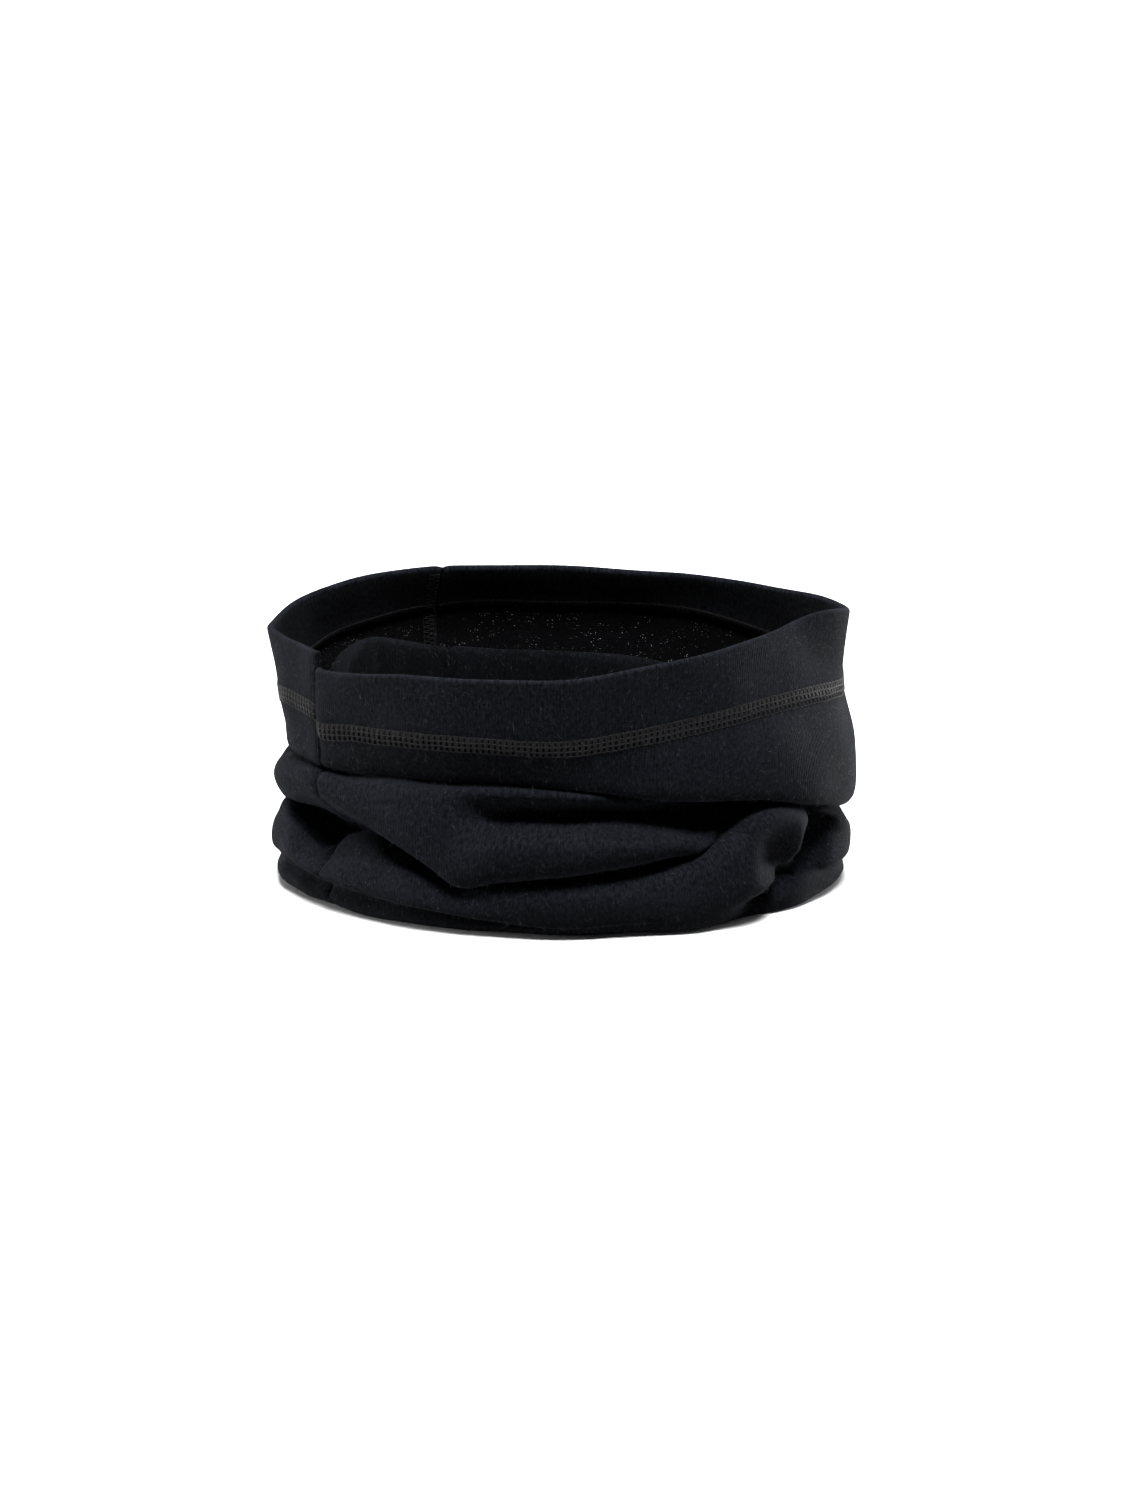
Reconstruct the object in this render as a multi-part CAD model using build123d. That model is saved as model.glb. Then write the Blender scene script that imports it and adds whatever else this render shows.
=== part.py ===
"""Neck gaiter: a knitted wool tube, pushed down into soft tiers, with its lower end tucked up inside.

The tube is sewn from a wide main panel and a narrow side panel.
Each panel gets a doubled top band and a doubled hem band, joined to it edge to edge by a four-needle
flatlock seam, and the two overlocked side seams then close the tube from rim to rim.

Frame: origin at the bottom centre, +Z up, -Y to the front, +X to the right seen from the front.
A station is a vertical plane square to the base ellipse. A section in it has two measures:
depth (inwards from the base ellipse) and height (above the ground).
"""

import os
from math import atan2, cos, degrees, hypot, pi, radians, sin, tan

from build123d import *

# ---- driving dimensions, in millimetres and degrees ----
half_width = 93.0          # base ellipse, centre to the outermost thread, along X
half_depth = 61.0          # the same along Y
height = 86.0              # highest point of the rim, at +X
rim_tilt = 3.6             # how far the rim lies above or below its mean at +X and -X
cloth = 1.0                # thickness of the knit
fold_gap = 0.2             # air between the two layers of a folded band
top_band_height = 19.0     # rim to the upper edge of the flatlock seam
hem_band_height = 19.0     # hem rim to the nearer edge of its flatlock seam
flatlock_width = 5.8       # over the four needle rows
needle_rows = 4
needle_thread = 0.3        # thickness of a needle thread
cover_thread = 0.25        # thickness of the cover thread's lattice
looper_thread = 0.4        # thickness of the looper threads on the reverse
overlock_width = 4.0       # width of an overlocked side seam allowance
overlock_thick = 0.6       # thickness of its threads
touch = 0.02               # air left between a thread and what it lies on

first_tier_bottom = 44.0   # mean height where the top tier turns inwards
first_tier_drop = 7.0      # how much lower that is at +X, and higher at -X
second_tier_height = 19.0  # from there down to the second tier's own turn
valley_depth = 11.0        # how far a valley between two tiers reaches inwards
valley_rise = 3.0          # height from a tier's turn to its valley, and again to the next tier
fold_radius = 2.0          # centre-line radius of a fold
foot_radius = 4.5          # radius where the lowest tier meets the ground
foot_width = 16.0          # how far the cloth lies on the ground
inner_rise = 3.0           # radius where the cloth turns up inside
hem_height = 62.0          # mean height of the hem rim inside the tube
hem_left_lift = 5.0        # how much higher it is at -X, and lower at +X
hem_back_lift = 6.0        # how much higher it is at +Y, and lower at -Y

front_seam_angle = 213.5   # ellipse parameter of the side seam at the front left
back_seam_angle = 117.0    # ellipse parameter of the side seam at the back left
station_step = 8.0         # about the angle between two stations
sector = 45.0              # about the angle of one solid of a panel
ground_cut = 0.05          # sliver that the ground flattens off the foot
smallest_edge = 0.001      # two arcs that meet need no straight edge between them

# ---- what follows from them ----
half_cloth = cloth / 2
leg_pitch = cloth + fold_gap
wall = needle_thread + cover_thread + 2 * touch + half_cloth   # depth of the outer centre line
tier_wall = wall + 1.0                                         # the second tier stands a little further in
inner_wall = wall + foot_width
half_seam = flatlock_width / 2


def rim_height(angle):
    """Height of the top rim at a station."""
    return height - rim_tilt + rim_tilt * cos(radians(angle))


def hem_rim_height(angle):
    """Height of the tucked-up hem's rim at a station."""
    a = radians(angle)
    return hem_height - hem_left_lift * cos(a) + hem_back_lift * sin(a)


def top_joint(angle):
    """Height at which the panel meets the top band."""
    return rim_height(angle) - top_band_height - half_seam


def hem_joint(angle):
    """Height at which the panel meets the hem band."""
    return hem_rim_height(angle) - hem_band_height - half_seam


def first_turn(angle):
    """Height at which the top tier turns inwards."""
    return first_tier_bottom - first_tier_drop * cos(radians(angle))


def place(angle, depth, up):
    """Point in space of a section's depth and height."""
    a = radians(angle)
    x, y = half_width * cos(a), half_depth * sin(a)
    nx, ny = half_depth * cos(a), half_width * sin(a)
    size = hypot(nx, ny)
    return Vector(x - depth * nx / size, y - depth * ny / size, up)


def panel_line(angle):
    """Corners (depth, height, radius) of the panel's centre line, from the top joint to the hem joint."""
    turn_1 = first_turn(angle)
    turn_2 = turn_1 - second_tier_height
    ground = half_cloth - ground_cut
    return [
        (wall, top_joint(angle), 0),
        (wall, turn_1, fold_radius),
        (valley_depth, turn_1 - valley_rise, fold_radius),
        (tier_wall, turn_1 - 2 * valley_rise, fold_radius),
        (tier_wall, turn_2, fold_radius),
        (valley_depth, turn_2 - valley_rise, fold_radius),
        (wall, turn_2 - 2 * valley_rise, fold_radius),
        (wall, ground, foot_radius),
        (inner_wall, ground, inner_rise),
        (inner_wall, hem_joint(angle), 0),
    ]


def side_edges(line, offset):
    """The line moved sideways by offset (left of travel is positive) as a list of straight and arc edges.

    Every corner is rounded by an arc about the same centre on all offsets, so that two offsets stay parallel.
    """
    edges = []
    here = None
    for i, (x, y, radius) in enumerate(line):
        if i == 0 or i == len(line) - 1:
            j = 0 if i == 0 else i - 1
            dx, dy = line[j + 1][0] - line[j][0], line[j + 1][1] - line[j][1]
            size = hypot(dx, dy)
            point = (x - dy / size * offset, y + dx / size * offset)
            if here is not None:
                edges.append((here, point))
            here = point
            continue
        ux, uy = x - line[i - 1][0], y - line[i - 1][1]
        vx, vy = line[i + 1][0] - x, line[i + 1][1] - y
        a, b = atan2(uy, ux), atan2(vy, vx)
        turn = (b - a + pi) % (2 * pi) - pi
        side = 1 if turn > 0 else -1
        back = radius * tan(abs(turn) / 2)
        cx = x - cos(a) * back - sin(a) * radius * side
        cy = y - sin(a) * back + cos(a) * radius * side
        reach = radius - offset * side
        points = []
        for share in (0, 0.5, 1):
            heading = a + turn * share
            points.append((cx + sin(heading) * reach * side, cy - cos(heading) * reach * side))
        edges.append((here, points[0]))
        edges.append(tuple(points))
        here = points[2]
    return edges


def section_wire(angle, line, left, right):
    """Closed outline between two offsets of a line, placed at its station."""
    near = side_edges(line, left)
    far = [tuple(reversed(e)) for e in reversed(side_edges(line, right))]
    loop = near + [(near[-1][-1], far[0][0])] + far + [(far[-1][-1], near[0][0])]
    edges = []
    for points in loop:
        placed = [place(angle, *p) for p in points]
        if len(placed) == 3:
            edges.append(Edge.make_three_point_arc(*placed))
        elif (placed[1] - placed[0]).length > smallest_edge:
            edges.append(Edge.make_line(*placed))
    return Wire(edges)


def stations(start, end):
    """Evenly spread station angles from start to end, both included."""
    steps = max(2, round(abs(end - start) / station_step))
    return [start + (end - start) * i / steps for i in range(steps + 1)]


def skin(start, end, line_of, left, right):
    """Solid that fills the space between two offsets of a line along the tube, from one angle to another."""
    wires = [section_wire(a, line_of(a), left, right) for a in stations(start, end)]
    return Solid.make_loft(wires, ruled=False)


def band_line(angle, rim, long_end, short_end, depth, side):
    """Centre line of a folded band: up its long leg, over the rim and down its short leg."""
    radius = leg_pitch / 2
    top = rim - half_cloth
    return [
        (depth, long_end + touch, 0),
        (depth, top, radius),
        (depth + side * leg_pitch, top, radius),
        (depth + side * leg_pitch, short_end, 0),
    ]


def ribbon(start, end, depth, low, high, thick):
    """Upright ribbon of thread at one depth, between two heights that are functions of the angle.

    A loft twists a section this thin, so its four long faces are ruled between curves along its corners.
    """
    angles = stations(start, end)
    corners = [(depth - thick / 2, low), (depth + thick / 2, low), (depth + thick / 2, high), (depth - thick / 2, high)]
    curves = [Edge.make_spline([place(a, d, level(a)) for a in angles]) for d, level in corners]
    faces = [Face.make_surface_from_curves(curves[i], curves[(i + 1) % 4]) for i in range(4)]
    for angle in (start, end):
        faces.append(Face(Wire.make_polygon([place(angle, d, level(angle)) for d, level in corners])))
    solid = Solid(Shell(faces))
    return solid if solid.volume > 0 else solid.fix()


def top_band_line(angle):
    """The top band's face leg is outside and its shorter leg inside."""
    rim = rim_height(angle)
    return band_line(angle, rim, top_joint(angle), rim - top_band_height, wall, 1)


def hem_band_line(angle):
    """The hem is tucked up, so its face leg looks at the middle and its shorter leg at the wall."""
    rim = hem_rim_height(angle)
    return band_line(angle, rim, hem_joint(angle), rim - hem_band_height, inner_wall, -1)


def flatlock(start, end, joint, face, face_side):
    """The three kinds of thread of one flatlock seam: needle rows, cover thread and looper threads.

    face is the depth of the cloth's centre line, and face_side is -1 where its right side looks outwards.
    """
    cover_depth = face + face_side * (half_cloth + touch + cover_thread / 2)
    needle_depth = cover_depth + face_side * (cover_thread / 2 + touch + needle_thread / 2)
    looper_depth = face - face_side * (half_cloth + touch + looper_thread / 2)
    low, high = shifted(joint, -half_seam), shifted(joint, half_seam)
    cover = ribbon(start, end, cover_depth, low, high, cover_thread)
    looper = ribbon(start, end, looper_depth, low, high, looper_thread)
    row_pitch = (flatlock_width - needle_thread) / (needle_rows - 1)
    rows = []
    for row in range(needle_rows):
        row_low = shifted(low, row * row_pitch)
        rows.append(ribbon(start, end, needle_depth, row_low, shifted(row_low, needle_thread), needle_thread))
    return {"needle_threads": Compound(rows), "cover_thread": cover, "looper_threads": looper}


def shifted(level, by):
    """A height function raised by a fixed amount."""
    return lambda angle: level(angle) + by


def overlock(angle):
    """Threads that bind a side seam's allowance, on the reverse of the top band, the panel and the hem band."""
    arc = degrees(overlock_width / hypot(half_width * sin(radians(angle)), half_depth * cos(radians(angle))))
    end = angle + arc
    near = half_cloth + touch
    off_band = leg_pitch + near + overlock_thick / 2
    room = half_seam + touch
    panel_side = skin(angle, end, lambda a: trimmed(panel_line(a), room), near, near + overlock_thick)
    bands = []
    for rim, high, depth in (
        (rim_height, top_band_height, wall + off_band),
        (hem_rim_height, hem_band_height, inner_wall - off_band),
    ):
        bands.append(ribbon(angle, end, depth, shifted(rim, -high), shifted(rim, -cloth), overlock_thick))
    return Compound([panel_side, *bands])


def trimmed(line, length):
    """The line shortened by a length at both ends, which leaves room for the looper threads."""
    (x0, y0, _), (x1, y1, _) = line[0], line[1]
    (x2, y2, _), (x3, y3, _) = line[-2], line[-1]
    first, last = hypot(x1 - x0, y1 - y0), hypot(x3 - x2, y3 - y2)
    start = (x0 + (x1 - x0) * length / first, y0 + (y1 - y0) * length / first, 0)
    end = (x3 - (x3 - x2) * length / last, y3 - (y3 - y2) * length / last, 0)
    return [start, *line[1:-1], end]


def on_the_ground(solid):
    """The part of a solid above the ground, which leaves a flat foot."""
    box = Box(4 * half_width, 4 * half_depth, 2 * height, align=(Align.CENTER, Align.CENTER, Align.MIN))
    return (solid & box).solids().sort_by(SortBy.VOLUME)[-1]


def panel(start, end):
    """One panel, as sectors that meet face to face, so that collision pieces can follow it round the neck."""
    count = round((end - start) / sector)
    ends = [start + (end - start) * i / count for i in range(count + 1)]
    return Compound([on_the_ground(skin(a, b, panel_line, half_cloth, -half_cloth)) for a, b in zip(ends, ends[1:])])


def panel_parts(name, start, end):
    """All pieces that are sewn flat before the side seams close the tube."""
    parts = {
        f"{name}_panel": panel(start, end),
        f"{name}_top_band": skin(start, end, top_band_line, half_cloth, -half_cloth),
        f"{name}_hem_band": skin(start, end, hem_band_line, half_cloth, -half_cloth),
    }
    for seam, joint, face, side in (("top", top_joint, wall, -1), ("hem", hem_joint, inner_wall, 1)):
        for kind, solid in flatlock(start, end, joint, face, side).items():
            parts[f"{name}_{seam}_{kind}"] = solid
    return parts


def main():
    """Builds every piece and writes one file for each."""
    parts = panel_parts("main", front_seam_angle, back_seam_angle + 360)
    parts |= panel_parts("side", back_seam_angle, front_seam_angle)
    parts["front_overlock"] = overlock(front_seam_angle)
    parts["back_overlock"] = overlock(back_seam_angle)
    os.makedirs("parts", exist_ok=True)
    for name, solid in parts.items():
        export_step(solid, f"parts/{name}.step")


main()
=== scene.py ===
# %% [markdown]
# # A wool neck gaiter, pushed down into soft tiers
#
# A neck gaiter is a tube of knitted wool. Its two ends are doubled bands, and a flatlock seam joins each
# band to the tube. Two side seams close the tube. Here it stands on its end: it has been pushed down, so
# that the cloth falls in tiers, and its lower end is tucked up inside.
#
# The cloth could be made by a simulation, by sculpting, or as a surface through listed lines. A
# simulation would fall its own way, so this script uses lines: each one runs round the tube at one stage of
# its way down, and the surface is a smooth curve through them. All sizes are in millimetres until a mesh is
# made.

import bpy
import numpy as np
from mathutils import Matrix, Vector


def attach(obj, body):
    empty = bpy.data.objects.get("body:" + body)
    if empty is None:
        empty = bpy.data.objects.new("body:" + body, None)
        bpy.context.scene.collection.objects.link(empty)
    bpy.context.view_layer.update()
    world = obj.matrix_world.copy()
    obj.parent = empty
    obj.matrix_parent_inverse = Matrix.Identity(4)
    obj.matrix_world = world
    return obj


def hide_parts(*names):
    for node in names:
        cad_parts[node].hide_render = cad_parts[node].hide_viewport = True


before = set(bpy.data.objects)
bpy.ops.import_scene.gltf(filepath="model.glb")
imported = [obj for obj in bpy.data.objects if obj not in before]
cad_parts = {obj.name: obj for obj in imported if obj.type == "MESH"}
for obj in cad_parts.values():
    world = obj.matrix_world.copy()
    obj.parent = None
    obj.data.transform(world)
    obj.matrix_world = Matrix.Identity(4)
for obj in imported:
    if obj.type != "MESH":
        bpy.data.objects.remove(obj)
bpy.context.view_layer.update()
MM = 0.001

# %% [markdown]
# ## The camera
#
# A long lens from a little above, far enough away that the near and far rims are almost the same width.

# %% Camera
CAMERA_DISTANCE = 1.3
CAMERA_ELEVATION = np.radians(18.4)
LENS = 97.5
AIM_HEIGHT = 0.0431

camera_data = bpy.data.cameras.new("camera")
camera_data.lens = LENS
camera_data.sensor_width = 36
camera = bpy.data.objects.new("camera", camera_data)
bpy.context.scene.collection.objects.link(camera)
aim = Vector((0, 0, AIM_HEIGHT))
camera.location = aim + CAMERA_DISTANCE * Vector((0, -np.cos(CAMERA_ELEVATION), np.sin(CAMERA_ELEVATION)))
camera.rotation_euler = (aim - camera.location).to_track_quat("-Z", "Y").to_euler()
bpy.context.scene.camera = camera
print("camera at", [round(v, 3) for v in camera.location])

# %% [markdown]
# ## The oval and the lines round it
#
# Seen from above the tube is an oval. A place on the oval is named by an angle, from 0 at the right end,
# through 90 at the back, to 270 at the front. A line round the tube then needs two numbers at each angle:
# how far inside the oval it lies, and how high. The table has them at every station, from the rim, down
# over each tier and along the ground, and up inside to the hem.

# %% Lines round the tube
HALF_WIDTH = 93.0
HALF_DEPTH = 61.0
FOLDS = {
    "rim": """
        0 2.6 89.1, 20 3 87.3, 40 5 86.6, 65 7 87.5, 90 8.5 89, 115 8.5 90.5, 140 6 89.9, 160 2.5 86.7,
        175 0.5 84, 186 0.5 84.8, 196 2.5 84.6, 206 3 84.8, 212 1.5 84.9, 215 0.3 84.7, 222 0 82.2,
        240 -0.5 83.4, 255 -1 84, 270 -1.5 84.5, 285 0 87.7, 300 5 88.9, 312 9 89.9, 324 12 90.4,
        334 12.5 91.1, 344 9.5 91.9, 352 5.5 91.2
    """,
    "band joint": """
        0 4 65.2, 20 2 67, 40 1 68.5, 65 0 73.7, 90 0 73.6, 115 0 75, 140 0.5 71.4, 160 2 66.5, 180 3 63,
        195 3 66.7, 206 3 66.9, 212 2 66.7, 216 1 65.1, 225 1.5 63.2, 240 2 63.7, 255 2 63.5, 270 2 63.2,
        285 2 66.2, 300 4 68.5, 315 6.5 69.6, 330 7.5 69, 345 6 67.3
    """,
    "first tier": """
        0 0 46.5, 30 1 51, 60 0 56, 90 0.5 58.5, 120 1.5 59, 150 4 57, 180 5 53.9, 195 4.5 57.1, 207 4 58.1,
        213.5 2.5 57, 220 2.5 54.8, 225 3.5 54.5, 240 5 55.2, 255 5.5 55.4, 270 5.3 55.5, 285 3.3 55.8,
        300 2 56.2, 315 2 54.9, 330 2 52.8, 345 1 48.9
    """,
    "first tier edge": """
        0 1 28, 30 2 36, 60 3 44, 90 4 48, 120 5 49, 150 6 48, 180 6.5 44.5, 195 6 47.9, 207 5 48.1,
        213.5 3.5 48.3, 220 6 48, 228 7.5 48.2, 240 8.5 49, 255 9 49.6, 270 8.5 48.8, 285 6 45.5,
        300 4 43.6, 315 2.5 40.5, 330 1.5 35.5, 345 2 30.1
    """,
    "first valley": """
        0 9 30, 30 10 35, 60 11 42, 90 12 46, 120 12 47, 150 13 46, 180 15 47, 195 15 50.4, 210 14.3 50.7,
        225 15.9 51.1, 240 17 52, 255 17 52.6, 270 17 51.8, 285 16.5 48, 300 16 47, 315 14 44, 330 12 39,
        345 11 33
    """,
    "second tier top": """
        0 11 29, 30 12 34, 60 11 40, 90 10 44, 120 9 45, 150 9 44, 180 9 43, 195 8.5 46.4, 210 6.5 46.7,
        225 8.7 46.5, 240 10.3 47.4, 255 10.8 47.9, 270 11.3 47, 285 13 43.9, 300 15 44.5, 315 16 41.5,
        330 14 37, 345 12 32
    """,
    "second tier roll": """
        0 13 28, 30 10 32, 60 6 38, 90 4 41, 120 3 42, 150 3 41, 180 3 40.7, 195 3 44, 210 2.5 46.1,
        225 2 45.8, 240 1.5 47.6, 255 2 48.2, 263 3 47.7, 270 4 46.9, 278 7 45, 285 11 42.5, 300 17 43,
        315 17 40, 330 16 36, 345 14 31
    """,
    "second tier dimple": """
        0 14 27.5, 30 6 30, 60 2 34, 90 1 36, 120 1 37, 150 1 36, 180 1.3 36.7, 195 1 40.2, 210 1 43.5,
        225 0 42.1, 240 -0.5 42.7, 248 0 41.9, 252 3.5 40.2, 256 8.5 38.5, 262 12.5 37.9, 270 15 37.5,
        278 17.5 36.8, 285 19.5 36, 300 21 36, 315 19 36, 330 17 34.5, 345 15 30.5
    """,
    "second tier swell": """
        0 13 27, 30 2 26, 60 1 28, 90 2 29, 120 2 31, 150 2 31, 180 2.5 31.9, 195 2 35.7, 210 2 39.3,
        222 0.5 39.2, 232 -1 36.6, 240 -2 33.7, 248 -2.5 29.7, 255 -2.5 31.9, 263 -2.5 33.4, 270 -2 33.4,
        278 -1 32.8, 285 0 31.6, 293 2.5 30.4, 300 7 29.1, 307 13 33, 315 17 35, 330 16 34, 345 14 30
    """,
    "second tier edge": """
        0 11 26, 30 4 21, 60 4 23, 90 5 25, 120 5 27, 150 6 27.5, 180 6 27, 195 6 31.5, 205 6 34,
        213.5 5 36.1, 220 3 37, 226 2 34.8, 233 1 31.1, 240 0 26.6, 245 -0.8 23, 249 -1 19.5, 256 -0.8 21.2,
        263 -0.5 22.7, 270 0 23.9, 278 1 25.4, 285 2 25.6, 293 3.5 26.6, 300 6 26.4, 307 12 30, 315 15 34,
        330 14 33, 345 12 29
    """,
    "second valley": """
        0 9 25, 30 10 20, 60 11 22, 90 12 24, 120 12 26, 150 13 27, 180 13 28, 195 14 28, 203 17 26,
        213.5 19 23, 222 18 26, 230 15 27, 240 13 22, 249 12 15, 256 12 16, 270 12 18, 285 13 21, 300 15 24,
        308 15 29, 315 15 33, 330 13 31, 345 11 28
    """,
    "third tier top": """
        0 5 24.5, 30 6 18, 60 6 20, 90 6 22, 120 6 24, 150 6 25, 180 5 26, 192 4.5 29.8, 200 5 23.4,
        204 6 19.5, 208 9 18.1, 213 10 20.6, 218 9.5 24.6, 223 8 25.7, 228 7 24.8, 240 7 19.1, 249 5.5 15.3,
        256 5.5 16.7, 270 5 18.1, 285 4.5 18.7, 293 3.5 21.2, 300 3 24.4, 305 3.2 29.8, 310 3.6 34.8,
        315 4 36.5, 322 4 35.6, 327 5.5 33.9, 332 13 33, 338 12 29, 347 6 26
    """,
    "third tier roll": """
        0 2.5 20, 30 3 16.5, 60 3 18.5, 90 3 20, 120 3 22, 150 3 23, 180 2.5 22.1, 192 2.2 25.6, 200 3 25.5,
        206 5 21, 213 7 18.6, 220 6 19.9, 230 4 20.7, 240 3.5 19, 249 2.8 14.5, 256 2.8 15.6, 270 2.3 16.2,
        285 1.8 16.2, 293 1 18.1, 300 0.3 22.1, 306 -0.3 28.6, 310 -0.3 32, 315 0 33.2, 320 0.3 32.7,
        325 1.2 31.4, 328.5 4 29.6, 332 12 26.1, 338 11.5 24.6, 347 3 23.8
    """,
    "third tier swell": """
        0 1 17.7, 30 1 14, 60 1 16, 90 1 17, 120 1 19, 150 1 20, 180 1 18.7, 192 1 22, 200 2 22.3,
        206 4 19.2, 213 5.5 17, 220 4 18.1, 230 2.5 19.2, 240 2 17.6, 249 1.5 13, 256 1.5 13.8, 270 1 13.7,
        285 0.5 13.4, 300 -1 15.3, 306 -1.8 20.2, 309.5 -1.2 21.8, 313 3 21.6, 317 6.5 20.2, 320.5 5 21,
        323.5 1.5 22.4, 326 5 21.4, 330 12 19.9, 335 11.5 19.4, 341 5 19.5, 348 2 18.5
    """,
    "third tier edge": """
        0 1 9.8, 30 1 9, 60 0.5 10, 90 0.5 10, 120 0.5 11, 150 0.5 12, 180 0.4 11.8, 192 0.8 17.7,
        200 0.8 14.4, 210 0.8 13.2, 225 0.8 11.8, 240 0.8 10.1, 255 1 7.6, 270 1.5 5.9, 285 1.5 6.4,
        300 -0.5 9.2, 308 -1.2 11.9, 313 0 13.2, 317 4 13.6, 321 10 12.8, 326 9 13, 332 7 11.8, 337 3 12.4,
        343 1.5 12.6
    """,
    "third valley": """
        0 3 6.4, 30 3 6.5, 60 2.5 7, 90 2.5 7, 120 2.5 8, 150 3 9, 180 3 8.4, 192 4 9.8, 200 6 10.2,
        210 7 9, 225 7 7.8, 240 7 6.9, 255 6 4.8, 270 4 4.3, 285 3 4.6, 300 1 5.7, 308 3 7.5, 313 9 8.1,
        318 10 8.8, 325 6 10.7, 335 4 10.8
    """,
    "fourth tier": """
        0 2.5 3.6, 30 2.5 3.5, 60 2.5 3.5, 90 2.5 3.5, 120 2.5 4, 150 2.5 4.5, 180 1.5 4.3, 192 2 4.6,
        200 3 5.3, 210 4.5 4.5, 225 5 4.1, 240 5 4.6, 255 5 3.5, 270 5 2.9, 285 4.5 2.7, 300 3 2.6,
        308 6 2.9, 313 9 3.7, 320 6 5.8, 335 3.5 6.9
    """,
    "foot": """
        0 6 0.5, 90 6 0.5, 180 6 0.5, 210 8.5 0.5, 255 9 0.5, 285 8.5 0.5, 300 7.5 0.5, 312 10 0.5,
        325 8 0.5
    """,
    "foot inside": """
        0 14 0.5, 90 14 0.5, 180 16 0.5, 270 18 0.5
    """,
    "inside low": """
        0 17.5 8, 90 17 8, 180 21 8, 225 23 8, 270 22 8, 315 21 8
    """,
    "inside wall": """
        0 19 36, 60 18 38, 90 18 40, 120 18.5 42, 150 20 44, 180 23 42, 210 26 36, 240 26 31, 270 26 28,
        300 26 29, 330 23 32
    """,
    "inside roll": """
        0 17.5 55, 30 17 57, 60 17 58.8, 90 17 62.4, 115 17 65.2, 132 18 70.3, 145 20 74.3, 156 22 73,
        168 23.5 71, 180 24 67, 195 25 61, 210 26 56, 225 26 52, 240 26 49, 270 26 46, 300 25.5 46,
        330 22 50, 345 19 53
    """,
    "inside roll back": """
        0 15.5 55.5, 30 15 57.5, 60 15 59, 90 15 61.8, 115 15 63.5, 132 15.5 67, 145 17 70, 156 19 71.5,
        168 20.5 70.5, 180 21 67, 195 22 61, 210 23.2 56, 225 23.4 52, 240 23.4 49, 270 23.4 46, 300 23 46,
        330 19.5 50, 345 16.5 53
    """,
    "hem joint": """
        0 12.5 50, 30 12 52, 60 12 54, 90 12 56, 115 12 58, 132 12.5 61, 145 14 64, 156 16 65, 168 17.5 64,
        180 18.5 61, 195 20 55, 210 21.6 50, 225 22 46, 240 22 43, 270 22 40, 300 22 40, 330 18 44,
        345 15 47
    """,
    "hem": """
        0 12.5 31, 30 12 33, 60 13 35, 90 13.5 37, 115 13.5 39, 132 13.5 42, 145 14.5 45, 156 16.5 46,
        168 17.8 45, 180 18.8 42, 195 20.5 36, 210 22.2 31, 225 22.3 27, 240 22.3 24, 270 22.3 21,
        300 22.3 21, 330 19 25, 345 15.5 28
    """,
}

LINES = {
    name: np.array([entry.split() for entry in text.split(",")], float) for name, text in FOLDS.items()
}
print(len(LINES), "lines with", sum(len(line) for line in LINES.values()), "points")

# %% [markdown]
# ## A smooth curve through listed points
#
# Both directions use the same curve, a cubic through every point whose slope there is that of the two
# neighbours. Round the tube it closes on itself. Down the tube its knots are spaced by the square root of
# the distance between points, which keeps a tight fold from looping.

# %% Curves round and down the tube
def round_the_tube(stations, values, angles):
    """Value at each angle of a closed cubic through the station values.

    Between two stations it is the cubic with the two values and the two slopes, and the slope at a station
    is the average of the rises to both sides, each weighted by the length of the other side.
    """
    knots = np.r_[stations, stations[0] + 360.0]
    points = np.r_[values, values[0]]
    gap = np.diff(knots)
    rise = np.diff(points) / gap
    before, gap_before = np.roll(rise, 1), np.roll(gap, 1)
    slope = (before * gap + rise * gap_before) / (gap + gap_before)
    slope = np.r_[slope, slope[0]]
    at = (np.asarray(angles, float) - knots[0]) % 360 + knots[0]
    i = np.clip(np.searchsorted(knots, at, side="right") - 1, 0, len(gap) - 1)
    x = (at - knots[i]) / gap[i]
    return (
        (1 + 2 * x) * (1 - x) ** 2 * points[i]
        + x * (1 - x) ** 2 * gap[i] * slope[i]
        + x**2 * (3 - 2 * x) * points[i + 1]
        - x**2 * (1 - x) * gap[i] * slope[i + 1]
    )


def down_the_tube(points, parts):
    """Curve through rows of points, of shape (angles, rows, 3), with parts[k] equal steps from row k to row
    k + 1.

    Each stretch is the cubic through its two rows whose slopes come from the rows on either side, with
    knots spaced by the square root of the distance.
    """
    first = 2 * points[:, :1] - points[:, 1:2]
    last = 2 * points[:, -1:] - points[:, -2:-1]
    p = np.concatenate([first, points, last], axis=1)
    gap = np.sqrt(np.linalg.norm(np.diff(p, axis=1), axis=2, keepdims=True)) + 1e-6
    rise = np.diff(p, axis=1) / gap
    slope = (rise[:, :-1] * gap[:, 1:] + rise[:, 1:] * gap[:, :-1]) / (gap[:, 1:] + gap[:, :-1])
    columns = []
    for k, count in enumerate(parts):
        x = (np.arange(count) / count)[None, :, None]
        a, b, g = points[:, k : k + 1], points[:, k + 1 : k + 2], gap[:, k + 1 : k + 2]
        columns.append(
            (1 + 2 * x) * (1 - x) ** 2 * a
            + x * (1 - x) ** 2 * g * slope[:, k : k + 1]
            + x**2 * (3 - 2 * x) * b
            - x**2 * (1 - x) * g * slope[:, k + 1 : k + 2]
        )
    columns.append(points[:, -1:])
    return np.concatenate(columns, axis=1)


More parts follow.
